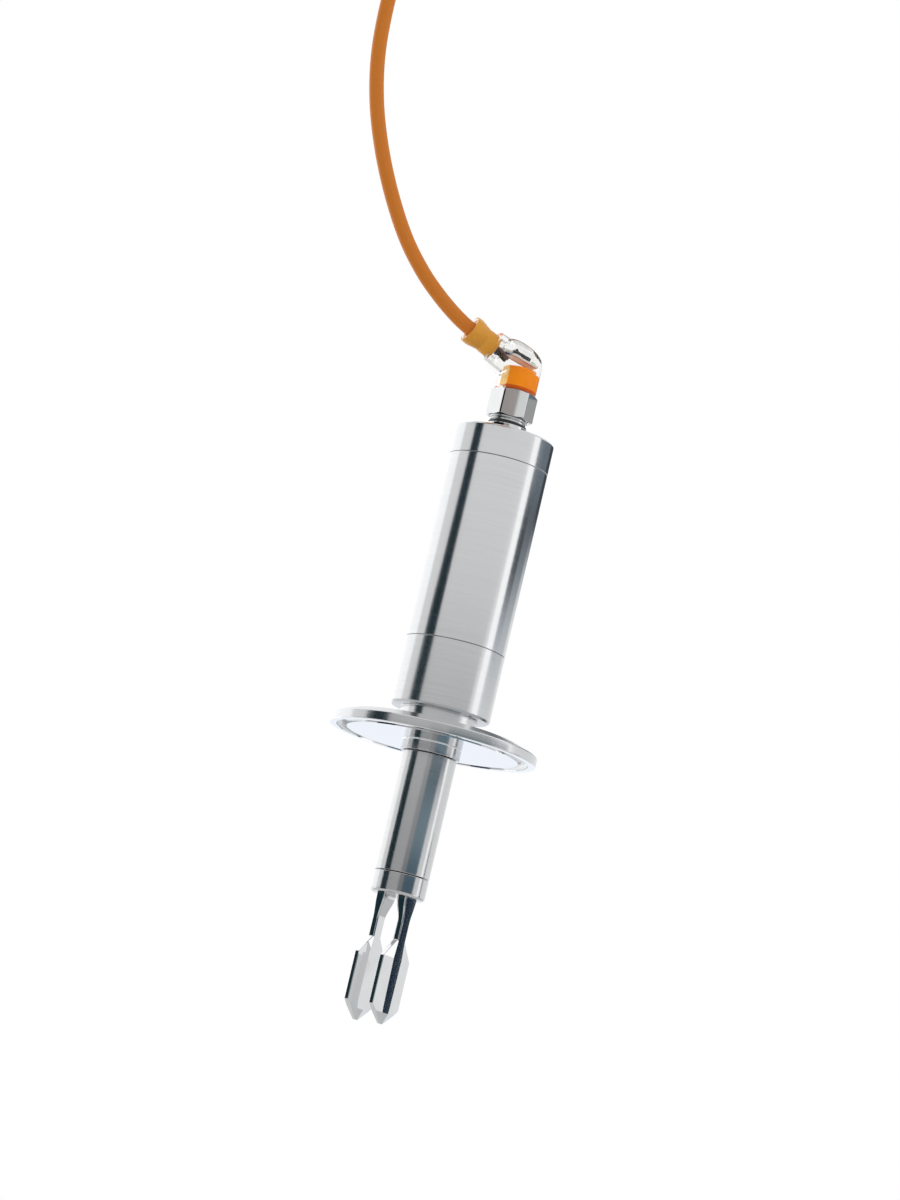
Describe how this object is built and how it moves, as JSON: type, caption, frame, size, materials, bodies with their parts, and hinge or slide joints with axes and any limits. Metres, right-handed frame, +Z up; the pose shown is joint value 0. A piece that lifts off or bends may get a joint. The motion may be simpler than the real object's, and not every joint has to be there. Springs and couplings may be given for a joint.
{
  "type": "tuning fork level switch",
  "caption": "Hygienic tuning fork level switch: slim round steel housing over a clamp ferrule, probe pipe with a forked tip, and an angled clear plug with a coiled cable.",
  "frame": {"origin": "on the switch's axis, at the ferrule's sealing face", "axes": "+Z up along the switch's axis from the fork to the plug, +X from one fork tine to the other, and +Y across the paddles"},
  "size_m": [0.0871, 0.093, 0.4431],
  "materials": {
    "stainless": "brushed",
    "gold_contacts": "plated",
    "copper": "bright",
    "black_rubber": "matte",
    "black_plastic": "matte",
    "aluminium_can": "satin",
    "white_ceramic": "matte",
    "piezo_ceramic": "matte",
    "circuit_board": "satin",
    "clear_plastic": "clear",
    "orange_block": "satin",
    "amber_sleeve": "translucent",
    "cable_jacket": "matte",
    "tie_strap": "matte",
    "green_light": "gloss",
    "yellow_light": "gloss",
    "red_wire": "satin",
    "blue_wire": "satin",
    "brown_core": "satin",
    "white_core": "satin",
    "blue_core": "satin",
    "black_core": "satin"
  },
  "bodies": {
    "switch": {"board_carrier": "black_plastic", "circuit_board": "circuit_board", "clamp_adapter": "stainless", "contact_carrier": "black_plastic", "contact_pin_1": "gold_contacts", "contact_pin_2": "gold_contacts", "contact_pin_3": "gold_contacts", "contact_pin_4": "gold_contacts", "controller_chip": "black_plastic", "cover_seal": "black_rubber", "drive_coil": "copper", "fork": "stainless", "housing_cover": "stainless", "housing_tube": "stainless", "piezo_electrode_1": "copper", "piezo_electrode_2": "copper", "piezo_electrode_3": "copper", "piezo_nut": "stainless", "piezo_ring_1": "piezo_ceramic", "piezo_ring_2": "piezo_ceramic", "piezo_ring_3": "piezo_ceramic", "piezo_ring_4": "piezo_ceramic", "piezo_washer_lower": "white_ceramic", "piezo_washer_upper": "white_ceramic", "piezo_wire_1": "red_wire", "piezo_wire_2": "blue_wire", "probe_pipe": "stainless", "smoothing_capacitor": "aluminium_can", "socket_collar": "stainless"},
    "plug": {"contact_holder": "black_plastic", "socket_contact_1": "gold_contacts", "socket_contact_2": "gold_contacts", "socket_contact_3": "gold_contacts", "socket_contact_4": "gold_contacts", "plug_seal": "black_rubber", "plug_elbow": "clear_plastic", "plug_core": "orange_block", "led_board": "circuit_board", "led_driver": "black_plastic", "led_green": "green_light", "led_yellow": "yellow_light", "cable_sleeve": "amber_sleeve", "cable_lead": "cable_jacket", "cable_coil": "cable_jacket", "coil_tie": "tie_strap", "cable_tail": "cable_jacket", "cable_core_1": "brown_core", "cable_core_2": "white_core", "cable_core_3": "blue_core", "cable_core_4": "black_core"},
    "nut": {"coupling_nut": "stainless"}
  },
  "joints": [
    {"name": "plug_pull", "type": "slide", "parent": "switch", "child": "plug", "axis": [0, 0, 1], "range_m": [0, 0.016]},
    {"name": "nut_turn", "type": "hinge", "parent": "plug", "child": "nut", "pos_m": [0, 0, 0.1077], "axis": [0, 0, 1], "continuous": true}
  ]
}
